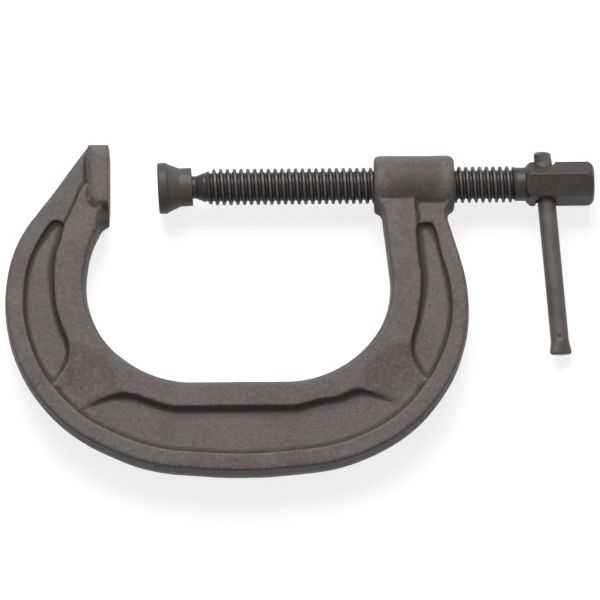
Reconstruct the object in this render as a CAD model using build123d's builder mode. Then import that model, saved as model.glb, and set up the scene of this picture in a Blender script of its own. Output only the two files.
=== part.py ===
from build123d import *
import os
from math import cos, radians, sin, tan

os.makedirs("parts", exist_ok=True)

# C clamp, lying on its side.  X runs along the screw from the fixed jaw to the handle, Y points
# away from the spine and Z is the thickness of the frame.  The origin is on the face of the
# anvil, on the screw's axis, in the middle plane of the forging.  All sizes are millimetres.

# ---- What the clamp holds
opening = 100.0              # largest gap between anvil and pad
throat_depth = 89.2          # screw axis to the inside of the spine
throat_relief = 10.1         # how far the throat is cut back behind the anvil face

# ---- Frame forging
jaw_arm = 35.6               # width of the arm that carries the anvil
spine = 40.8                 # width of the spine
screw_arm = 34.2             # width of the arm that carries the boss
flange_half = 10.5           # half thickness on the inner flange
rim_half = 9.0               # half thickness on the outer rim
web_half = 5.6               # half thickness of the web in the pockets
rim_width = 8.0              # outer edge to the pocket
draft_angle = 7.0            # die draft of every forged wall, degrees
edge_round = 1.1             # rounding of the forged edges
floor_round = 1.4            # rounding at the foot of the pocket walls
pocket_top = 17.4            # axis to the ends of the two arm pockets
pocket_end_round = 2.3       # rounding of those ends
ramp_reach = 26.0            # the two slopes down to the web: outer end of the slope
ramp_flat = 6.0              # its level foot
ramp_sweep = 60.0            # stretch of the rim that bounds it, degrees
ramp_angles = (224.0, 317.0) # place of the slopes on the rim's corner arcs, degrees
ramp_shy = 0.15              # slope to the line of the rim's wall

# ---- Anvil
anvil_half = 12.4            # half thickness of the anvil pad
anvil_depth = 9.0            # length of the anvil along the screw
anvil_above = 17.0           # anvil's upper end above the axis
anvil_below = 8.0            # anvil's lower end below the axis
anvil_slope = 1.8            # sloped edge round the back of the anvil
jaw_tip = 18.0               # end of the jaw above the axis

# ---- Boss
boss_radius = 13.0
boss_length = 35.4
boss_gap = 1.5               # pad to boss when the clamp is wide open
boss_front_round = 2.0
boss_back_round = 3.0
arm_inset = 6.5              # boss face to the inner side of the arm

# ---- Screw, 16 mm trapezoidal with a 3 mm pitch, drawn plain to the crests of its thread
thread_radius = 8.0
thread_length = 132.7
thread_clearance = 0.2       # crests of the screw to the wall of the nut
thread_end_bevel = 0.9
mouth_chamfer = 0.8          # chamfer of the nut's two mouths

# ---- Spindle
gap_at_rest = 21.5           # anvil to pad as the clamp is shown
neck_radius = 5.0
neck_clear = 1.7             # pad to the cone behind the neck
lead_cone = 7.6              # length of the cone between the neck and the full thread
shank_radius = 7.4
shank_length = 5.0
head_flats = 17.0            # across the flats of the hexagon
head_turn = 16.7             # a corner of the hexagon, from +Y towards +Z, degrees
head_length = 30.0
head_bevel = 2.2             # bevel of the head on the shank's side
head_face = 8.2              # radius of the flat face in front of the bevel
head_round = 3.8             # rounding of the head's free end
hole_radius = 4.9            # cross hole for the tommy bar
hole_back = 8.4              # shank end of the head to the middle of the hole

# ---- Swivel pad, its ball joint and the ring that keeps the ball in
pad_length = 15.0
pad_radius = 11.25
pad_rim = 3.8                # length of the wide rim
pad_step = 0.6               # step behind the rim
pad_flare = 9.6              # pad face to the end of the flare
pad_body_radius = 8.45
pad_bevel = 0.5
pad_droop = 2.5              # how far the pad has tipped on its ball, degrees
ball_radius = 6.25
ball_back = 5.7              # centre of the ball to the rear of the pad
ball_clearance = 0.2
ring_wire = 0.5              # half the side of the retaining ring's square wire
ring_back = 2.7              # ring behind the centre of the ball
ring_clearance = 0.1         # ring's inner edge to the ball
ring_gap = 24.0              # opening of the split ring, degrees
groove_front = 1.1           # groove for the ring, measured from the centre of the ball
groove_back = 4.3
groove_radius = 7.4
lip_radius = 6.4

# ---- Tommy bar
bar_radius = 4.0
bar_length = 90.0
bar_top = 13.9               # screw's axis to the upper end of the bar
bar_lean = 4.4               # lean of the bar in its loose hole, degrees
bar_dip = 5.5                # how far the long end hangs below the middle plane, degrees
stake_wide = 5.3             # half width of the pinched ends
stake_thin = 3.3             # half their thickness
stake_lengths = (3.0, 4.5)   # taper of the upper and the lower end
stake_turns = (60.0, 30.0)   # direction in which they are widened, degrees
stake_land = 1.4             # straight rest of both ends
stake_bevel = 0.7
punch_radius = 1.7           # round-nosed punch mark beside the lower end
punch_depth = 0.7
punch_from_end = 7.4

boss_front = opening + pad_length + boss_gap
boss_back = boss_front + boss_length
left = -(throat_relief + jaw_arm)
throat_right = boss_front + arm_inset
right = throat_right + screw_arm
throat_floor = -throat_depth
bottom = throat_floor - spine
jaw_stock = 2.0              # metal left on the forged jaw, machined away to the anvil face
above_axis = 2 * boss_radius # how far the construction outlines run past the screw's axis


def rounded_path(corners):
    """Polyline through (x, y, radius) corners; a radius gives way where two arcs would meet."""
    points = [Vector(x, y) for x, y, _ in corners]
    legs = [b - a for a, b in zip(points, points[1:])]
    radii = []
    slopes = [tan(radians(abs(a.get_signed_angle(b)) / 2)) for a, b in zip(legs, legs[1:])]
    reach = [0] + [corner[2] * s for corner, s in zip(corners[1:-1], slopes)] + [0]
    for i, s in enumerate(slopes):
        before = legs[i].length / (reach[i] + reach[i + 1])
        after = legs[i + 1].length / (reach[i + 1] + reach[i + 2])
        room = min(before, after)
        radii.append(corners[i + 1][2] * min(1, 0.98 * room))
    return FilletPolyline(*points, radius=radii)


def runs_along(edge, line):
    """True for an edge that follows a line of the parting plane, within the width of the draft."""
    middle = edge @ 0.5
    return abs(middle.Y) > 0.1 and line.distance_to(Vertex(middle.X, middle.Y, 0)) < rim_width / 4


outer_corners = [
    (-9.4, jaw_tip, 0),
    (left + 2.1, (throat_floor + 32.4) / 2, 58),
    (left - 5.0, bottom + 33.6, 74),
    (left + 61.1, bottom + 2.5, 80),
    (left + 105.1, bottom - 1.1, 190),
    (right - 54.3, bottom + 3.0, 82),
    (right + 4.7, bottom + 31.7, 70),
    (right - 0.9, (throat_floor + 7.2) / 2, 60),
    (boss_back - 3.6, -14.5, 6),
    (boss_back - 0.6, -9.5, 6),
    (boss_back - 0.6, above_axis, 0),
]
throat_corners = [
    (jaw_stock, -17.0, 0),
    (-3.2, -19.0, 6),
    (2.1 - throat_relief, (throat_floor + 33.2) / 2, 40),
    (-3.0 - throat_relief, throat_floor + 26.0, 42),
    (30.6 - throat_relief, throat_floor, 48),
    (throat_right - 22.3, throat_floor, 47),
    (throat_right - 1.0, throat_floor + 28.3, 39),
    (throat_right + 0.2, throat_floor + 43.2, 35),
    (boss_front + 3.2, -14.5, 6),
    (boss_front + 0.6, -10.5, 6),
    (boss_front + 0.6, 0, 0),
]

with BuildSketch() as throat:
    with BuildLine():
        path = rounded_path(throat_corners)
        Polyline(path @ 1, path @ 1 + Vector(0, above_axis), (jaw_stock, above_axis), path @ 0)
    make_face()

with BuildSketch() as outline:
    with BuildLine():
        path = rounded_path(outer_corners)
        Polyline(path @ 1, (jaw_stock, above_axis), (jaw_stock, jaw_tip), path @ 0)
    make_face()

flange_corners = [
    (-10.5, -1.0, 0),
    (left + 21.0, (throat_floor + 34.2) / 2, 45),
    (left + 19.8, (throat_floor - 4.8) / 2, 45),
    (left + 29.0, throat_floor + 14.5, 16),
    (left + 21.0, bottom + 34.0, 1),
    (left + 27.0, bottom + 29.0, 1),
    (left + 52.0, bottom + 36.4, 22),
    (left + 73.0, bottom + 29.0, 25),
    (right - 74.5, bottom + 29.0, 25),
    (right - 49.5, bottom + 37.0, 20),
    (right - 19.5, bottom + 29.0, 1),
    (right - 18.3, bottom + 34.0, 1),
    (right - 25.4, throat_floor + 15.0, 20),
    (right - 19.0, (throat_floor - 5.8) / 2, 45),
    (right - 23.6, -6.0, 1),
    (right - 23.6, 0, 0),
]

with BuildSketch() as inner_zone:
    with BuildLine():
        path = rounded_path(flange_corners)
        Line(path @ 1, path @ 0)
    make_face()

with BuildSketch() as inside_rim:
    add(outline.sketch)
    offset(amount=-rim_width)
    split(bisect_by=Plane.XZ.offset(pocket_top), keep=Keep.TOP)

with BuildSketch() as silhouette:
    add(outline.sketch)
    add(throat.sketch, mode=Mode.SUBTRACT)
    with Locations((boss_back, above_axis / 2)):
        Rectangle(2 * (boss_length + arm_inset), above_axis, mode=Mode.SUBTRACT)

with BuildSketch() as pockets:
    add(inside_rim.sketch)
    add(inner_zone.sketch, mode=Mode.SUBTRACT)
    add(throat.sketch, mode=Mode.SUBTRACT)
    offset(amount=-pocket_end_round)
    offset(amount=pocket_end_round)

with BuildSketch() as above_rim:
    with Locations((0, bottom / 2)):
        Rectangle(3 * (right - left), 2 * -bottom)
    with BuildSketch(mode=Mode.PRIVATE) as kept:
        add(outline.sketch)
        offset(amount=-1.25 * rim_width)
        add(inner_zone.sketch, mode=Mode.INTERSECT)
        add(throat.sketch)
    add(kept.sketch, mode=Mode.SUBTRACT)

cut_top = flange_half + 1
with BuildPart() as pocket_cut:
    with BuildSketch(Plane.XY.offset(-cut_top)):
        add(pockets.sketch)
    extrude(amount=cut_top - web_half, taper=draft_angle)
    fillet(pocket_cut.faces().group_by(Axis.Z)[-1].edges(), floor_round)

with BuildPart() as rim_cut:
    with BuildSketch(Plane.XY.offset(-cut_top)):
        add(above_rim.sketch)
    extrude(amount=cut_top - rim_half, taper=draft_angle)

ramps = []
for corner_x, ramp_angle in zip((left, right), ramp_angles):
    rim_arcs = inside_rim.edges().filter_by(GeomType.CIRCLE)
    long_arcs = rim_arcs.filter_by(lambda e: e.length > 3 * rim_width)
    corner_arc = long_arcs.sort_by_distance((corner_x, bottom))[0]
    centre, radius = corner_arc.arc_center, corner_arc.radius
    start = Vector(1, 0, 0).rotate(Axis.Z, ramp_angle - ramp_sweep / 2)
    foot = centre + Vector(radius, 0, 0).rotate(Axis.Z, ramp_angle)
    with BuildPart() as ramp:
        with BuildSketch(Plane(origin=centre, x_dir=start, z_dir=start.cross(Vector(0, 0, 1)))):
            with BuildLine():
                Polyline(
                    (radius - ramp_reach, web_half),
                    (radius - ramp_shy - (cut_top - web_half) * tan(radians(draft_angle)), web_half),
                    (radius - ramp_shy, cut_top),
                    (radius - ramp_reach, cut_top),
                    close=True,
                )
            make_face()
        revolve(axis=Axis(centre, (0, 0, 1)), revolution_arc=ramp_sweep)
        with BuildSketch(Plane(origin=foot, x_dir=(1, 0, 0), z_dir=(0, -1, 0))):
            with BuildLine():
                Polyline(
                    (0, web_half),
                    (ramp_flat, web_half),
                    (ramp_reach, flange_half),
                    (ramp_reach, cut_top),
                    (0, cut_top),
                    close=True,
                )
            make_face()
        revolve(axis=Axis(foot, (0, 0, 1)), mode=Mode.INTERSECT)
    ramps.append(ramp.part)

with BuildPart() as frame_half:
    extrude(silhouette.sketch, amount=flange_half)
    draft(frame_half.faces().filter_by(Axis.Z, reverse=True), Plane.XY, draft_angle)
    mirror(pocket_cut.part, about=Plane.XY, mode=Mode.SUBTRACT)
    mirror(rim_cut.part, about=Plane.XY, mode=Mode.SUBTRACT)
    add(ramps, mode=Mode.SUBTRACT)
    for level, edge_line in ((flange_half, throat), (rim_half, outline)):
        line = edge_line.face().outer_wire()
        flat = frame_half.faces().filter_by(GeomType.PLANE)
        top = flat.filter_by_position(Axis.Z, level - 0.01, level + 0.01)
        fillet(top.edges().filter_by(lambda e: runs_along(e, line)), edge_round)


with BuildPart() as anvil:
    with Locations(((jaw_stock - anvil_depth) / 2, (anvil_above - anvil_below) / 2)):
        Box(anvil_depth + jaw_stock, anvil_above + anvil_below, 2 * anvil_half)
    fillet(anvil.edges().filter_by(Axis.Z).group_by(Axis.X)[0].sort_by(Axis.Y)[0], anvil_depth / 2)
    chamfer(anvil.faces().filter_by(Axis.Z).edges(), anvil_slope)


pad_rear = gap_at_rest + pad_length
ball_x = pad_rear - ball_back
cone_start = pad_rear + neck_clear
thread_end = cone_start + lead_cone + thread_length
head_start = thread_end + shank_length
head_end = head_start + head_length
hole_x = head_start + hole_back
nut_radius = thread_radius + thread_clearance

with BuildPart() as boss:
    with BuildSketch(Plane.YZ.offset(boss_front)):
        Circle(boss_radius)
    extrude(amount=boss_length)
    fillet(boss.edges().group_by(Axis.X)[0], boss_front_round)
    fillet(boss.edges().group_by(Axis.X)[-1], boss_back_round)
    with BuildSketch(Plane.YZ.offset(boss_front)):
        Circle(nut_radius)
    extrude(amount=boss_length, mode=Mode.SUBTRACT)
    for end in (0, -1):
        rims = boss.edges().group_by(Axis.X)[end].filter_by(GeomType.CIRCLE)
        chamfer(rims.sort_by(SortBy.RADIUS)[0], mouth_chamfer)

with BuildPart() as frame:
    add(frame_half.part)
    mirror(about=Plane.XY)
    add(anvil.part)
    with Locations((jaw_stock, 0)):
        Box(2 * jaw_stock, 3 * jaw_arm, 3 * anvil_half, mode=Mode.SUBTRACT)
    with BuildSketch(Plane.YZ.offset(boss_front)):
        Circle((boss_radius + thread_radius) / 2)
    extrude(amount=boss_length, mode=Mode.SUBTRACT)
    add(boss.part)
frame.part.label = "frame"
export_step(frame.part, "parts/frame.step")

turned_radius = 1.01 * head_flats / 2 / cos(radians(30))
with BuildPart() as head:
    with BuildSketch(Plane.YZ.offset(head_start)):
        RegularPolygon(head_flats / 2, 6, major_radius=False, rotation=head_turn)
    extrude(amount=head_length)
    with BuildSketch(Plane.XY):
        with BuildLine():
            Polyline(
                (head_end, 0),
                (head_start, 0),
                (head_start, head_face),
                (head_start + head_bevel, turned_radius),
                (head_end - head_round, turned_radius),
            )
            JernArc((head_end - head_round, turned_radius), (1, 0), head_round, -90)
            Line((head_end, turned_radius - head_round), (head_end, 0))
        make_face()
    revolve(axis=Axis.X, mode=Mode.INTERSECT)
    hole_plane = Plane(origin=(hole_x, 0, 0), z_dir=(0, cos(radians(bar_dip)), sin(radians(bar_dip))))
    with BuildSketch(hole_plane):
        Circle(hole_radius)
    extrude(amount=head_flats, both=True, mode=Mode.SUBTRACT)

with BuildPart() as spindle:
    with BuildSketch(Plane.XY):
        with BuildLine():
            neck_x = ball_x + (ball_radius**2 - neck_radius**2) ** 0.5
            ThreePointArc((ball_x - ball_radius, 0), (ball_x, ball_radius), (neck_x, neck_radius))
            Polyline(
                (neck_x, neck_radius),
                (cone_start, neck_radius),
                (cone_start + lead_cone, thread_radius),
                (thread_end, thread_radius),
                (thread_end + thread_end_bevel, shank_radius),
                (head_start + head_bevel, shank_radius),
                (head_start + head_bevel, 0),
                (ball_x - ball_radius, 0),
            )
        make_face()
    revolve(axis=Axis.X)
    add(head.part)
spindle.part.label = "spindle"
export_step(spindle.part, "parts/spindle.step")

pad_plane = Plane(origin=(ball_x, 0, 0), x_dir=(cos(radians(pad_droop)), sin(radians(pad_droop)), 0))
with BuildPart() as swivel_pad:
    face = ball_back - pad_length
    seat = ball_radius + ball_clearance
    with BuildSketch(pad_plane):
        with BuildLine():
            Polyline(
                (-seat, 0),
                (face, 0),
                (face, pad_radius - pad_bevel),
                (face + pad_bevel, pad_radius),
                (face + pad_rim, pad_radius),
                (face + pad_rim + pad_step, pad_radius - pad_step),
                (face + pad_flare, pad_body_radius),
                (ball_back, pad_body_radius),
                (ball_back, lip_radius),
                (groove_back, lip_radius),
                (groove_back, groove_radius),
                (groove_front, groove_radius),
                (groove_front, seat),
                (0, seat),
            )
            RadiusArc((0, seat), (-seat, 0), -seat)
        make_face()
    revolve(axis=Axis((ball_x, 0, 0), pad_plane.x_dir))
swivel_pad.part.label = "swivel_pad"
export_step(swivel_pad.part, "parts/swivel_pad.step")

ring_inside = ((ball_radius + ring_clearance) ** 2 - (ring_back - ring_wire) ** 2) ** 0.5
with BuildPart() as retaining_ring:
    with BuildSketch(Plane.XY):
        with Locations((ball_x + ring_back, ring_inside + ring_wire)):
            Rectangle(2 * ring_wire, 2 * ring_wire)
    revolve(axis=Axis.X, revolution_arc=360 - ring_gap)
retaining_ring.part.label = "retaining_ring"
export_step(retaining_ring.part, "parts/retaining_ring.step")

lean, dip = radians(bar_lean), radians(bar_dip)
bar_up = Vector(-sin(lean), cos(lean) * cos(dip), cos(lean) * sin(dip))
bar_side = Vector(cos(lean), sin(lean) * cos(dip), sin(lean) * sin(dip))
bar_plane = Plane(origin=(hole_x, 0, 0), x_dir=bar_side, z_dir=bar_up)
ends = (bar_top, bar_top - bar_length)
shaft_ends = (ends[0] - stake_land - stake_lengths[0], ends[1] + stake_land + stake_lengths[1])
with BuildPart() as tommy_bar:
    with BuildSketch(bar_plane.offset(shaft_ends[1])):
        Circle(bar_radius)
    extrude(amount=shaft_ends[0] - shaft_ends[1])
    for shaft_end, way, turn, length in zip(shaft_ends, (1, -1), stake_turns, stake_lengths):
        pinch = Plane(
            origin=bar_plane.origin + bar_up * shaft_end,
            x_dir=bar_side.rotate(Axis((0, 0, 0), bar_up), turn),
            z_dir=bar_up * way,
        )
        with BuildSketch(pinch):
            Circle(bar_radius)
        with BuildSketch(pinch.offset(length)):
            Ellipse(stake_wide, stake_thin)
        loft()
        with BuildSketch(pinch.offset(length)):
            Ellipse(stake_wide, stake_thin)
        extrude(amount=stake_land)
        chamfer(tommy_bar.faces().sort_by(Axis((0, 0, 0), bar_up * way))[-1].edges(), stake_bevel)
    punch_side = bar_side.cross(bar_up)
    punch_out = bar_radius + punch_radius - punch_depth
    with Locations(bar_plane.origin + bar_up * (ends[1] + punch_from_end) + punch_side * punch_out):
        Sphere(punch_radius, mode=Mode.SUBTRACT)
tommy_bar.part.label = "tommy_bar"
export_step(tommy_bar.part, "parts/tommy_bar.step")
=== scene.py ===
"""The looks of a forged C clamp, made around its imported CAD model. Lengths are in metres."""

import math

import bmesh
import bpy
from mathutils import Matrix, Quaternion, Vector, noise


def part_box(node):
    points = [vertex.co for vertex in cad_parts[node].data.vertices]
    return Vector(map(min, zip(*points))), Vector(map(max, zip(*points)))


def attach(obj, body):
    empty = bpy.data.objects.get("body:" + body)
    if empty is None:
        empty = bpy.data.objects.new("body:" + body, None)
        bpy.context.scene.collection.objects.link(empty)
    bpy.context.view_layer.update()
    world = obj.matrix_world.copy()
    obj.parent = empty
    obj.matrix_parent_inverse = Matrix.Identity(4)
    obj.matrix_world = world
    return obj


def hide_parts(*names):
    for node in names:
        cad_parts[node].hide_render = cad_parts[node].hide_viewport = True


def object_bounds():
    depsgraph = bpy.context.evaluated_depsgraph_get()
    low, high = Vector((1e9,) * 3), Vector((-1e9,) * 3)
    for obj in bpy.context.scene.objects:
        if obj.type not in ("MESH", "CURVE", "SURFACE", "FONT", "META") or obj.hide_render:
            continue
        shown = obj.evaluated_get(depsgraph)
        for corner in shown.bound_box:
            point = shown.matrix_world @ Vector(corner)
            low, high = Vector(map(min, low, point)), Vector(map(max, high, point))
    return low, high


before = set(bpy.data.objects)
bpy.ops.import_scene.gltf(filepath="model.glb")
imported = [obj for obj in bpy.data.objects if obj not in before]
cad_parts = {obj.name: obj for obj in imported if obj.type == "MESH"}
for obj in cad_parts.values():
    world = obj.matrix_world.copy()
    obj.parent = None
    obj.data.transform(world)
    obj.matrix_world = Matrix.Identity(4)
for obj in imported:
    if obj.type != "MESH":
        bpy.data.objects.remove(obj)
cad_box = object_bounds()

MM = 0.001

# Camera: a long lens, tilted towards the clamp's spine, as in the product photograph. Its lens
# and sensor are in millimetres, and FIELD is the width that it sees at the clamp.
LENS = 300.0
SENSOR = 36.0
FIELD = 262.9 * MM
TILT = math.radians(14.0)
ROLL = math.radians(-0.55)
LOOK_AT = Vector((83.5 * MM, -51.6 * MM, 0.0))

# Softened skins: voxel sizes, smoothing factor, and its passes on the forging and on turned steel
FRAME_VOXEL = 0.8 * MM
STEEL_VOXEL = 0.32 * MM
SMOOTHING = 0.45
FORGED_PASSES = 3
HANDLED_PASSES = 2
HOLLOW_REACH = 1.8 * MM      # how wide a stretch the hollows and ridges are judged over
WELD = 0.001 * MM            # points nearer than this are one

# Sizes of the solid frame. The half thicknesses are those of its web, rim and flange, and the
# boss's skin, with its waviness, lies within BOSS_REACH of the screw's axis.
BORE_RADIUS = 8.2 * MM
BOSS_RADIUS = 13.0 * MM
BOSS_REACH = BOSS_RADIUS + 0.6 * MM
BLOCK_DEPTH = 9.0 * MM
WEB_HALF = 5.6 * MM
RIM_HALF = 9.0 * MM
FLANGE_HALF = 10.5 * MM

# Jaw: how far the anvil block's lower end drops, and the slope between it and the throat, with
# its foot, the way that it falls and how steeply. Each fade is (where there is none, where whole).
BLOCK_DROP = 2.6 * MM
BLOCK_FADE = (-BLOCK_DEPTH - 3.0 * MM, -BLOCK_DEPTH)
JAW_END = 20.0 * MM
JAW_FADE = (JAW_END, 10.0 * MM)
BLOCK_END_FADES = ((-1.0 * MM, -5.0 * MM), (-15.0 * MM, -9.0 * MM))
LIP_FADES = ((-7.2 * MM, -8.8 * MM), (-21.0 * MM, -19.0 * MM))
LIP_FOOT = Vector((-4.2 * MM, -10.8 * MM))
LIP_WAY = Vector((0.97, -0.245))
LIP_SLOPE = 1.2

# Waviness of the forging, as (size of the waves, their height), and how it comes in away from the
# bore and away from the anvil's face
WAVES = ((14.0 * MM, 0.12 * MM), (4.5 * MM, 0.05 * MM))
BORE_FADE = (1.15 * BORE_RADIUS, 1.15 * BORE_RADIUS + 2.0 * MM)
ANVIL_FADE = (0.0, 1.5 * MM)
WALL_FADE = (0.8, 0.3)       # the normal's share of Z, from flats to side walls

# Pockets: the forged ones are shallower than the solid's, and wider. Each nudge moves a stretch
# of their walls: its middle, how far it goes there, and how far out it fades, all in millimetres.
POCKET_FLOOR = 6.9 * MM
POCKET_FADE = (-14.0 * MM, -17.0 * MM)       # below the boss and the jaw
NUDGES = (
    ((138.0, -18.8), (0.6, -1.6), (8.0, 9.0)),       # end of the pocket beside the boss
    ((-25.2, -18.8), (-0.5, 1.2), (8.0, 9.0)),       # end of the pocket beside the jaw
    ((-18.0, -8.0), (1.2, 0.0), (6.0, 14.0)),        # jaw arm, from the jaw down
    ((-22.8, -28.0), (2.5, 0.0), (8.0, 32.0)),
    ((-26.5, -47.0), (1.1, 0.0), (7.0, 18.0)),
    ((-20.5, -80.0), (1.5, 0.0), (7.0, 16.0)),
    ((136.5, -37.0), (-1.6, 0.0), (6.0, 38.0)),      # boss arm, its inner wall
    ((135.0, -79.0), (-1.9, 0.0), (6.0, 18.0)),
    ((141.8, -27.0), (1.3, 0.0), (6.0, 24.0)),       # boss arm, its outer wall
    ((148.2, -58.0), (1.0, 0.0), (7.0, 34.0)),
    ((101.0, -97.0), (0.0, -1.7), (12.0, 5.8)),      # spine
)

# Screw: 16 mm trapezoidal thread between the neck behind the pad and the shank before the head
PITCH = 3.0 * MM
CREST_RADIUS = 8.0 * MM
THREAD_DEPTH = 1.75 * MM
FLANK = math.radians(15.0)
THREAD_ROUND = 0.16 * MM     # rounding of its crests and roots
NECK_RADIUS = 5.0 * MM
CONE_LENGTH = 7.6 * MM
FULL_LENGTH = 132.7 * MM
END_BEVEL = 0.9 * MM
SHANK_RADIUS = 7.4 * MM
SHANK_LENGTH = 5.0 * MM
HEAD_LENGTH = 30.0 * MM
RUN_OUT = 2.4 * MM           # where the thread fades out before the shank
BURIED = 0.5 * MM            # how far its ends go into the neck and the shank
BURIED_UNDER = 0.1 * MM      # and how far they stay under their skins
THREAD_SIDES = 64
THREAD_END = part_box("spindle")[1].x - HEAD_LENGTH - SHANK_LENGTH
CONE_START = THREAD_END - FULL_LENGTH - CONE_LENGTH
THREAD_PHASE = 0.25 * PITCH
ROOT_RADIUS = CREST_RADIUS - THREAD_DEPTH
SHARP = math.radians(40.0)   # edges steeper than this stay sharp

# Colours: each oxide's dark, middle and light tone, its two tints, and what lies over it, painted shade and a
# painted highlight among them
FORGED_TONES = ((0.112, 0.096, 0.089), (0.150, 0.130, 0.121), (0.262, 0.231, 0.216))
SCREW_TONES = ((0.027, 0.023, 0.021), (0.040, 0.035, 0.032), (0.078, 0.069, 0.063))
PAD_TONES = ((0.048, 0.042, 0.038), (0.076, 0.066, 0.060), (0.130, 0.115, 0.105))
BAR_TONES = ((0.084, 0.073, 0.067), (0.131, 0.115, 0.106), (0.184, 0.163, 0.151))
MAUVE = (1.035, 0.98, 1.005)
OLIVE = (0.98, 1.005, 0.965)
# painted shade, for the frame's corners, side walls and boss
PAINTED_SHADE = (0.030, 0.025, 0.022)
RUBBED_EDGE = (0.28, 0.25, 0.23)
# crests: rubbed paler, with a painted highlight
WORN_CREST_HIGHLIGHT = (0.105, 0.094, 0.088)
# roots: grease, with painted shade
GREASE_AND_SHADE = (0.016, 0.013, 0.012)
RIM_SHADE = (0.030, 0.026, 0.024)
WIRE_TONES = ((0.36, 0.35, 0.34), (0.52, 0.52, 0.52))
RING_STEP = 0.32 * MM        # turning marks on the pad

# Studio: the floor is white and glows where it is seen, and is grey where it lights the clamp
WORLD_LIGHT = 0.15
LAMP_AT = (0.0, 0.80, 1.0)
LAMP_SIZE = 0.9
LAMP_POWER = 17.0
FLOOR_SIZE = 6.0
FLOOR_GAP = 0.1 * MM
FLOOR_WHITE = 0.42
FLOOR_GREY = 0.35
FLOOR_GLOW = 0.80


def fade(value, start, end):
    """Rises smoothly from 0 where value is start to 1 where it is end, on either side of it."""
    share = min(1.0, max(0.0, (value - start) / (end - start)))
    return share * share * (3.0 - 2.0 * share)


# ---------------------------------------------------------------- node helpers

def new_material(name, roughness, specular, metallic=0.0):
    """A material with a bare Principled shader. Returns (material, node tree, shader)."""
    material = bpy.data.materials.new(name)
    material.use_nodes = True
    tree = material.node_tree
    shader = tree.nodes["Principled BSDF"]
    shader.inputs["Roughness"].default_value = roughness
    shader.inputs["Specular IOR Level"].default_value = specular
    shader.inputs["Metallic"].default_value = metallic
    return material, tree, shader


def plug(tree, value, socket):
    """Links a socket to a socket, or writes a number on it."""
    if isinstance(value, (int, float, tuple)):
        socket.default_value = value
    else:
        tree.links.new(value, socket)


def math_node(tree, operation, first, second=0.0, third=0.0, clamp=False):
    """The result of one operation on two or three numbers."""
    made = tree.nodes.new("ShaderNodeMath")
    made.operation = operation
    made.use_clamp = clamp
    for socket, value in zip(made.inputs, (first, second, third)):
        plug(tree, value, socket)
    return made.outputs[0]


def place(tree):
    """The point on the piece, in its own coordinates."""
    return tree.nodes.new("ShaderNodeTexCoord").outputs["Object"]


def noise_node(tree, at, size, detail, rough=0.5, distortion=0.0):
    """Noise whose features are about size metres across."""
    made = tree.nodes.new("ShaderNodeTexNoise")
    plug(tree, at, made.inputs["Vector"])
    made.inputs["Scale"].default_value = 1.0 / size
    made.inputs["Detail"].default_value = detail
    made.inputs["Roughness"].default_value = rough
    made.inputs["Distortion"].default_value = distortion
    return made.outputs["Fac"]


def cells_node(tree, at, size):
    """Distance to the nearest of scattered points, about size metres apart."""
    made = tree.nodes.new("ShaderNodeTexVoronoi")
    plug(tree, at, made.inputs["Vector"])
    made.inputs["Scale"].default_value = 1.0 / size
    return made.outputs["Distance"]


def between(tree, value, low, high, start=0.0, end=1.0):
    """Maps low..high smoothly to start..end."""
    made = tree.nodes.new("ShaderNodeMapRange")
    made.interpolation_type = "SMOOTHSTEP"
    plug(tree, value, made.inputs["Value"])
    made.inputs["From Min"].default_value = low
    made.inputs["From Max"].default_value = high
    made.inputs["To Min"].default_value = start
    made.inputs["To Max"].default_value = end
    return made.outputs["Result"]


def mix_colour(tree, share, first, second, blend="MIX"):
    """The first colour with so large a share of the second."""
    made = tree.nodes.new("ShaderNodeMix")
    made.data_type = "RGBA"
    made.blend_type = blend
    plug(tree, share, made.inputs["Factor"])
    for socket, value in ((made.inputs["A"], first), (made.inputs["B"], second)):
        plug(tree, (*value, 1.0) if isinstance(value, tuple) else value, socket)
    return made.outputs["Result"]


def bump(tree, height, distance, normal=None):
    """Relief that stands out so far per unit of height, over another relief if there is one."""
    made = tree.nodes.new("ShaderNodeBump")
    made.inputs["Strength"].default_value = 1.0
    made.inputs["Distance"].default_value = distance
    plug(tree, height, made.inputs["Height"])
    if normal is not None:
        plug(tree, normal, made.inputs["Normal"])
    return made.outputs["Normal"]


def attribute(tree, name):
    """A number that the mesh carries at each of its points."""
    made = tree.nodes.new("ShaderNodeAttribute")
    made.attribute_name = name
    return made.outputs["Fac"]


def axes(tree, at):
    """The three coordinates of a point."""
    made = tree.nodes.new("ShaderNodeSeparateXYZ")
    plug(tree, at, made.inputs[0])
    return made.outputs


def from_screw_axis(tree, at):
    """Distance from the screw's axis, which is the X axis."""
    _, across, up = axes(tree, at)
    squares = [math_node(tree, "MULTIPLY", way, way) for way in (across, up)]
    return math_node(tree, "SQRT", math_node(tree, "ADD", *squares))


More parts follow.
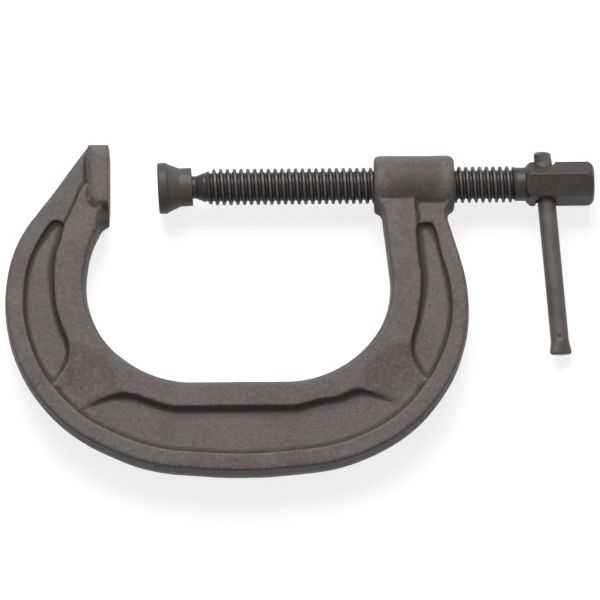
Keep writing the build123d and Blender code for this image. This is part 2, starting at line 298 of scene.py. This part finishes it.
def oxide(tree, at, tones, mottle, grain, fine, depth):
    """Dark oxide over blasted steel: slow mottling, and two sizes of grain in colour and relief.

    Returns (colour, relief, slow noise, grain noise).
    """
    dark, middle, light = tones
    slow = noise_node(tree, at, mottle, 3.0, 0.6, 0.4)
    medium = noise_node(tree, at, grain, 3.0, 0.65)
    small = noise_node(tree, at, fine, 2.0, 0.6)
    hue = noise_node(tree, at, 0.45 * mottle, 2.0)
    pits = between(tree, cells_node(tree, at, 1.9 * grain), 0.0, 0.30, 1.0, 0.0)
    tone = mix_colour(tree, between(tree, slow, 0.32, 0.68), dark, middle)
    tone = mix_colour(tree, between(tree, medium, 0.42, 0.72, 0.0, 0.55), tone, light)
    tone = mix_colour(tree, between(tree, small, 0.50, 0.30, 0.0, 0.45), tone, dark)
    tone = mix_colour(tree, math_node(tree, "MULTIPLY", pits, 0.45), tone, tuple(0.6 * c for c in dark))
    tint = mix_colour(tree, between(tree, hue, 0.42, 0.58), MAUVE, OLIVE)
    tone = mix_colour(tree, 1.0, tone, tint, "MULTIPLY")
    height = math_node(tree, "MULTIPLY_ADD", medium, 0.6, math_node(tree, "MULTIPLY", small, 0.4))
    height = math_node(tree, "MULTIPLY_ADD", pits, -0.5, height)
    return tone, bump(tree, height, depth), slow, medium


# ---------------------------------------------------------------- finishes

def boss_painted_shade(tree, at, slow):
    """How dark the round boss is painted, in patches: painted shade, less on its upper side as though lit
    from above.
    """
    along, across, _ = axes(tree, at)
    skin = between(tree, from_screw_axis(tree, at), BOSS_REACH, BOSS_RADIUS - 0.1 * MM)
    past_throat = between(tree, along, 60 * MM, 90 * MM)
    # Painted shade: the boss stays lighter on its upper side, as though lit from above
    shaded_underside = between(tree, across, 3 * MM, 11 * MM, 1.0, 0.1)
    share = math_node(tree, "MULTIPLY", math_node(tree, "MULTIPLY", skin, past_throat), shaded_underside)
    return math_node(tree, "MULTIPLY", share, between(tree, slow, 0.36, 0.62, 0.56, 0.12))


def forging_finish():
    """The frame: a shot-blasted forging under a dull grey-brown oxide, with painted shade in its corners and
    side walls.
    """
    material, tree, shader = new_material("forged_oxide", 0.6, 0.3)
    at = place(tree)
    tone, relief, slow, medium = oxide(
        tree, at, FORGED_TONES, mottle=18 * MM, grain=1.7 * MM, fine=0.7 * MM, depth=0.17 * MM
    )
    hollow = attribute(tree, "hollow")
    # Painted shade in the hollows: the pocket walls, the corners and the feet of steps
    crevice_shade = between(tree, hollow, 0.006, 0.055, 0.0, 0.94)
    ridge = between(tree, hollow, -0.06, -0.20)
    rubbed = math_node(tree, "MULTIPLY", ridge, between(tree, medium, 0.4, 0.6))
    # Painted shade on the side walls
    wall_shade = math_node(tree, "MULTIPLY", attribute(tree, "wall_shade"), 0.30)
    # Painted shade on the boss, lighter on its upper side
    tone = mix_colour(tree, boss_painted_shade(tree, at, slow), tone, PAINTED_SHADE)
    tone = mix_colour(tree, math_node(tree, "MULTIPLY", rubbed, 0.3), tone, RUBBED_EDGE)
    tone = mix_colour(tree, wall_shade, tone, PAINTED_SHADE)
    tone = mix_colour(tree, crevice_shade, tone, PAINTED_SHADE)
    plug(tree, tone, shader.inputs["Base Color"])
    plug(tree, between(tree, medium, 0.3, 0.7, 0.48, 0.66), shader.inputs["Roughness"])
    plug(tree, relief, shader.inputs["Normal"])
    return material


def steel_finish(name, tones, roughness, metallic=0.2):
    """Handled steel under black oxide, with painted shade in its hollows, and rubbed paler on its edges.

    Returns (material, node tree, shader, point, colour, relief, grain noise).
    """
    material, tree, shader = new_material(name, roughness, 0.45, metallic)
    at = place(tree)
    tone, relief, _, medium = oxide(
        tree, at, tones, mottle=9 * MM, grain=0.9 * MM, fine=0.35 * MM, depth=0.03 * MM
    )
    hollow = attribute(tree, "hollow")
    ridge = between(tree, hollow, -0.06, -0.25)
    rubbed = math_node(tree, "MULTIPLY", ridge, between(tree, medium, 0.35, 0.6))
    pale = tuple(1.5 * c for c in tones[2])
    black = tuple(0.3 * c for c in tones[0])
    tone = mix_colour(tree, math_node(tree, "MULTIPLY", rubbed, 0.45), tone, pale)
    # Painted shade in the hollows
    tone = mix_colour(tree, between(tree, hollow, 0.03, 0.2, 0.0, 0.8), tone, black)
    gloss = between(tree, medium, 0.3, 0.7, roughness - 0.07, roughness + 0.09)
    plug(tree, gloss, shader.inputs["Roughness"])
    return material, tree, shader, at, tone, relief, medium


def screw_finish():
    """The screw: oiled black oxide, crests rubbed, with a painted highlight; roots greased, with painted
    shade.
    """
    material, tree, shader, at, tone, relief, medium = steel_finish("screw_oxide", SCREW_TONES, 0.40, 0.3)
    along, _, _ = axes(tree, at)
    radius = from_screw_axis(tree, at)
    threaded = math_node(
        tree, "MULTIPLY", between(tree, along, THREAD_END, THREAD_END - 1 * MM),
        between(tree, along, CONE_START, CONE_START + 2 * MM),
    )
    # The crests are rubbed paler with a painted highlight, and the roots are greasy with painted shade
    crest = between(tree, radius, CREST_RADIUS - 0.4 * MM, CREST_RADIUS - 0.05 * MM)
    root = between(tree, radius, ROOT_RADIUS + 0.75 * MM, ROOT_RADIUS + 0.05 * MM, 0.0, 0.45)
    worn = math_node(tree, "MULTIPLY", crest, between(tree, medium, 0.35, 0.6, 0.2, 0.75))
    tone = mix_colour(tree, math_node(tree, "MULTIPLY", worn, threaded), tone, WORN_CREST_HIGHLIGHT)
    tone = mix_colour(tree, math_node(tree, "MULTIPLY", root, threaded), tone, GREASE_AND_SHADE)
    plug(tree, tone, shader.inputs["Base Color"])
    plug(tree, relief, shader.inputs["Normal"])
    return material


def pad_finish():
    """The pad: turned steel under oxide, with fine rings round its axis and a darker rim."""
    material, tree, shader, at, tone, relief, _ = steel_finish("pad_oxide", PAD_TONES, 0.5)
    along, _, _ = axes(tree, at)
    radius = from_screw_axis(tree, at)
    turns = math_node(tree, "MULTIPLY", math_node(tree, "ADD", along, radius), 2 * math.pi / RING_STEP)
    rings = math_node(tree, "SINE", turns)
    rim = between(tree, radius, 9.8 * MM, 11.0 * MM, 0.0, 0.45)
    plug(tree, mix_colour(tree, rim, tone, RIM_SHADE), shader.inputs["Base Color"])
    plug(tree, bump(tree, rings, 0.006 * MM, relief), shader.inputs["Normal"])
    return material


def bar_finish():
    """The tommy bar: drawn steel under oxide."""
    material, tree, shader, _, tone, relief, _ = steel_finish("bar_oxide", BAR_TONES, 0.48)
    plug(tree, tone, shader.inputs["Base Color"])
    plug(tree, relief, shader.inputs["Normal"])
    return material


def ring_finish():
    """The retaining ring: drawn spring wire."""
    material, tree, shader = new_material("spring_wire", 0.3, 0.5, 1.0)
    grain = noise_node(tree, place(tree), 0.3 * MM, 3.0)
    plug(tree, mix_colour(tree, grain, *WIRE_TONES), shader.inputs["Base Color"])
    plug(tree, bump(tree, grain, 0.005 * MM), shader.inputs["Normal"])
    return material


# ---------------------------------------------------------------- pieces

def new_object(name, mesh):
    """A mesh as an object of the scene."""
    made = bpy.data.objects.new(name, mesh)
    bpy.context.scene.collection.objects.link(made)
    return made


def smoothed(piece, factor, passes):
    """The piece's mesh after so many passes of smoothing, with whatever modifiers it has."""
    smooth = piece.modifiers.new("smooth", "SMOOTH")
    smooth.factor = factor
    smooth.iterations = passes
    evaluated = piece.evaluated_get(bpy.context.evaluated_depsgraph_get())
    result = bpy.data.meshes.new_from_object(evaluated)
    piece.modifiers.clear()
    return result


def mark_hollows(piece, voxel):
    """Writes how deep each point lies in a hollow, in millimetres, and less than 0 on a ridge."""
    passes = round((HOLLOW_REACH / voxel) ** 2)
    blurred = smoothed(piece, 0.5, passes)
    depths = [
        (soft.co - own.co).dot(own.normal) / MM
        for soft, own in zip(blurred.vertices, piece.data.vertices)
    ]
    piece.data.attributes.new("hollow", "FLOAT", "POINT").data.foreach_set("value", depths)
    bpy.data.meshes.remove(blurred)


def soft_skin(name, mesh, voxel, passes):
    """A closed mesh remade as an object with its edges slightly rounded."""
    skin = new_object(name, mesh)
    remesh = skin.modifiers.new("remesh", "REMESH")
    remesh.mode = "VOXEL"
    remesh.voxel_size = voxel
    skin.data = smoothed(skin, SMOOTHING, passes)
    skin.data.name = name
    skin.data.shade_smooth()
    return skin


def welded(node):
    """A CAD node's mesh in a bmesh of its own, with its faces joined along their edges."""
    mesh = bmesh.new()
    mesh.from_mesh(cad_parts[node].data)
    bmesh.ops.remove_doubles(mesh, verts=mesh.verts, dist=WELD)
    return mesh


def as_data(mesh, name):
    """A bmesh turned into mesh data."""
    data = bpy.data.meshes.new(name)
    mesh.to_mesh(data)
    mesh.free()
    return data


def pocket_form(at):
    """Moves a point of the frame to the forged pockets' depth and outline."""
    height = abs(at.z)
    raised = height
    if height < WEB_HALF:
        raised = height * POCKET_FLOOR / WEB_HALF
    elif height < RIM_HALF:
        raised = RIM_HALF - (RIM_HALF - height) * (RIM_HALF - POCKET_FLOOR) / (RIM_HALF - WEB_HALF)
    clear_of_boss = fade(at.y, *POCKET_FADE)
    height += (raised - height) * clear_of_boss
    moved = Vector((at.x, at.y, math.copysign(height, at.z)))
    for middle, shift, reach in NUDGES:
        away = math.hypot((at.x / MM - middle[0]) / reach[0], (at.y / MM - middle[1]) / reach[1])
        share = fade(away, 1.0, 0.0)
        moved.x += shift[0] * share * MM
        moved.y += shift[1] * share * MM
    return moved


def jaw_form(at):
    """Moves a point of the frame to the jaw's forged form, which the machined solid lacks."""
    if at.x > JAW_END:
        return at
    near_jaw = fade(at.x, *BLOCK_FADE) * fade(at.x, *JAW_FADE)
    at_block_end = math.prod(fade(at.y, *ends) for ends in BLOCK_END_FADES)
    drop = BLOCK_DROP * near_jaw * at_block_end
    out = max(0.0, (Vector((at.x, at.y)) - LIP_FOOT).dot(LIP_WAY))
    below_block = math.prod(fade(at.y, *ends) for ends in LIP_FADES)
    height = 1.0 - LIP_SLOPE * out / FLANGE_HALF * below_block
    return Vector((at.x, at.y - drop, at.z * height))


def waviness(at):
    """How far the forging's surface stands off the solid's, clear of the bore and the anvil face."""
    clear_of_bore = fade(math.hypot(at.y, at.z), *BORE_FADE)
    clear_of_anvil = fade(abs(at.x), *ANVIL_FADE)
    height = sum(noise.noise(at / size) * high for size, high in WAVES)
    return height * clear_of_bore * clear_of_anvil


def side_wall(at, normal):
    """1 on the forging's side walls, which get painted shade, 0 on its flats and its boss."""
    on_boss = at.x > 0 and math.hypot(at.y, at.z) < BOSS_REACH
    return 0.0 if on_boss else fade(abs(normal.z), *WALL_FADE)


def forged_frame(node):
    """The frame with the soft edges and the slight waviness that a forging has."""
    skin = soft_skin("forged_" + node, as_data(welded(node), node), FRAME_VOXEL, FORGED_PASSES)
    mesh = skin.data
    for vertex in mesh.vertices:
        vertex.co = jaw_form(pocket_form(vertex.co))
    mark_hollows(skin, FRAME_VOXEL)
    walls = []
    for vertex, normal in zip(mesh.vertices, [v.normal.copy() for v in mesh.vertices]):
        walls.append(side_wall(vertex.co, normal))
        moved = vertex.co + normal * waviness(vertex.co)
        moved.z = min(cad_box[1].z, max(cad_box[0].z, moved.z))
        vertex.co = moved
    # each point's share of the side walls' painted shade
    mesh.attributes.new("wall_shade", "FLOAT", "POINT").data.foreach_set("value", walls)
    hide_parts(node)
    return skin


def handled_steel(node):
    """A small steel piece with its edges worn soft."""
    skin = soft_skin("worn_" + node, as_data(welded(node), node), STEEL_VOXEL, HANDLED_PASSES)
    mark_hollows(skin, STEEL_VOXEL)
    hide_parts(node)
    return skin


def thread_profile():
    """(place in the pitch, depth under the crest) of one turn, from the middle of a root on."""
    half_flank = THREAD_DEPTH / 2 * math.tan(FLANK)
    foot = PITCH / 4 - half_flank
    crest = PITCH / 4 + half_flank
    soft = THREAD_ROUND
    rising = [
        (0.0, THREAD_DEPTH),
        (foot - soft, THREAD_DEPTH),
        (foot + 0.3 * soft, THREAD_DEPTH - soft),
        (crest - 0.3 * soft, soft),
        (crest + 0.2 * soft, 0.25 * soft),
        (crest + soft, 0.0),
    ]
    falling = [(PITCH - at, depth) for at, depth in reversed(rising[1:])]
    return rising + falling


def thread_radius(x, depth):
    """Radius of the threaded stretch at x, with its cone at one end and its run-out at the other."""
    end = THREAD_END + END_BEVEL
    if x < CONE_START or x > end:
        buried_in = NECK_RADIUS if x < CONE_START else SHANK_RADIUS
        return buried_in - BURIED_UNDER
    faded = fade(x, end - RUN_OUT, end)
    radius = CREST_RADIUS - depth
    radius += (SHANK_RADIUS - radius) * faded
    cone = NECK_RADIUS + (x - CONE_START) * (CREST_RADIUS - NECK_RADIUS) / CONE_LENGTH
    return min(radius, cone)


def thread_mesh():
    """The threaded stretch as rows that follow the helix, still open at both ends."""
    low = CONE_START - BURIED
    high = THREAD_END + END_BEVEL + BURIED
    profile = thread_profile()
    turns = math.ceil((high - low) / PITCH) + 1
    mesh = bmesh.new()
    columns = []
    for side in range(THREAD_SIDES):
        share = side / THREAD_SIDES
        column = []
        for turn in range(-1, turns):
            for at, depth in profile:
                x = min(high, max(low, low + THREAD_PHASE + (turn + share) * PITCH + at))
                radius = thread_radius(x, depth)
                angle = 2 * math.pi * share
                column.append(mesh.verts.new((x, radius * math.cos(angle), radius * math.sin(angle))))
        columns.append(column)
    rows = turns * len(profile)
    for side, column in enumerate(columns):
        last = side == THREAD_SIDES - 1
        beside = columns[0] if last else columns[side + 1]
        shift = len(profile) if last else 0
        for row in range(rows - 1):
            mesh.faces.new((column[row], column[row + 1], beside[row + 1 + shift], beside[row + shift]))
    return mesh


def close_holes(mesh):
    """Fills whatever is still open."""
    bmesh.ops.holes_fill(mesh, edges=[edge for edge in mesh.edges if edge.is_boundary])


def cut_off(node, x, keep):
    """The stretch of a solid on one side of the plane at x, closed: above it where keep is 1."""
    part = welded(node)
    everything = part.verts[:] + part.edges[:] + part.faces[:]
    bmesh.ops.bisect_plane(
        part, geom=everything, dist=WELD, plane_co=(x, 0.0, 0.0), plane_no=(-keep, 0.0, 0.0), clear_outer=True
    )
    close_holes(part)
    return as_data(part, "cut_" + node)


def threaded_spindle(node):
    """The spindle with its thread: the solid's neck, ball, shank and head, and the helix between."""
    thread = thread_mesh()
    bmesh.ops.remove_doubles(thread, verts=thread.verts, dist=WELD)
    bmesh.ops.dissolve_degenerate(thread, edges=thread.edges, dist=WELD)
    close_holes(thread)
    ends = [
        soft_skin("spindle_end", cut_off(node, x, keep), STEEL_VOXEL, HANDLED_PASSES)
        for x, keep in ((CONE_START, -1), (THREAD_END + END_BEVEL, 1))
    ]
    for end in ends:
        mark_hollows(end, STEEL_VOXEL)
        thread.from_mesh(end.data)
        bpy.data.objects.remove(end)
    bmesh.ops.recalc_face_normals(thread, faces=thread.faces)
    name = "threaded_" + node
    piece = new_object(name, as_data(thread, name))
    piece.data.shade_smooth()
    piece.data.set_sharp_from_angle(angle=SHARP)
    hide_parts(node)
    return piece


def finish_piece(piece, material):
    """Gives the piece its one material."""
    piece.data.materials.clear()
    piece.data.materials.append(material)


# ---------------------------------------------------------------- studio

def add_camera():
    """The camera, at the photograph's angle."""
    data = bpy.data.cameras.new("camera")
    data.lens = LENS
    data.sensor_width = SENSOR
    camera = bpy.data.objects.new("camera", data)
    bpy.context.scene.collection.objects.link(camera)
    distance = FIELD * LENS / SENSOR
    back = Vector((0.0, -math.sin(TILT), math.cos(TILT)))
    camera.location = LOOK_AT + back * distance
    camera.rotation_mode = "QUATERNION"
    camera.rotation_quaternion = (-back).to_track_quat("-Z", "Y") @ Quaternion((0.0, 0.0, 1.0), ROLL)
    bpy.context.scene.camera = camera


def add_lamp(name, at, aim, size, power):
    """A square soft lamp at a point, aimed at another."""
    data = bpy.data.lights.new(name, "AREA")
    data.size = size
    data.energy = power
    lamp = bpy.data.objects.new(name, data)
    bpy.context.scene.collection.objects.link(lamp)
    lamp.location = at
    lamp.rotation_mode = "QUATERNION"
    lamp.rotation_quaternion = (Vector(aim) - Vector(at)).to_track_quat("-Z", "Y")


def seen_ray(tree):
    """1 on camera, glossy and transmission rays, which see the background white."""
    path = tree.nodes.new("ShaderNodeLightPath").outputs
    seen = math_node(tree, "ADD", path["Is Camera Ray"], path["Is Glossy Ray"])
    return math_node(tree, "ADD", seen, path["Is Transmission Ray"], clamp=True)


def add_world():
    """Plain white light from all round, brighter where the background itself is seen."""
    world = bpy.data.worlds.new("studio")
    world.use_nodes = True
    bpy.context.scene.world = world
    tree = world.node_tree
    background = tree.nodes["Background"]
    background.inputs["Color"].default_value = (1.0, 1.0, 1.0, 1.0)
    strength = math_node(tree, "MULTIPLY_ADD", seen_ray(tree), 1.0 - WORLD_LIGHT, WORLD_LIGHT)
    plug(tree, strength, background.inputs["Strength"])


def add_floor():
    """A white sheet under the clamp. It keeps the clamp's shadow."""
    under = Vector((LOOK_AT.x, LOOK_AT.y, cad_box[0].z - FLOOR_GAP))
    bpy.ops.mesh.primitive_plane_add(size=FLOOR_SIZE, location=under)
    floor = bpy.context.object
    floor.name = "floor"
    material, tree, shader = new_material("paper", 0.9, 0.0)
    seen = seen_ray(tree)
    plug(tree, mix_colour(tree, seen, (FLOOR_GREY,) * 3, (FLOOR_WHITE,) * 3), shader.inputs["Base Color"])
    shader.inputs["Emission Color"].default_value = (1.0, 1.0, 1.0, 1.0)
    plug(tree, math_node(tree, "MULTIPLY", seen, FLOOR_GLOW), shader.inputs["Emission Strength"])
    floor.data.materials.append(material)


# ---------------------------------------------------------------- the scene

add_camera()
add_world()
add_floor()
add_lamp("overhead", LAMP_AT, (LOOK_AT.x, LOOK_AT.y, 0.0), LAMP_SIZE, LAMP_POWER)

for piece, finish, body, slot in (
    (forged_frame("frame"), forging_finish, "frame", "forging"),
    (threaded_spindle("spindle"), screw_finish, "spindle", "screw"),
    (handled_steel("swivel_pad"), pad_finish, "swivel_pad", "pad"),
    (handled_steel("tommy_bar"), bar_finish, "tommy_bar", "bar"),
):
    finish_piece(piece, finish())
    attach(piece, body)
finish_piece(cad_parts["retaining_ring"], ring_finish())

bpy.context.scene.view_settings.view_transform = "Standard"
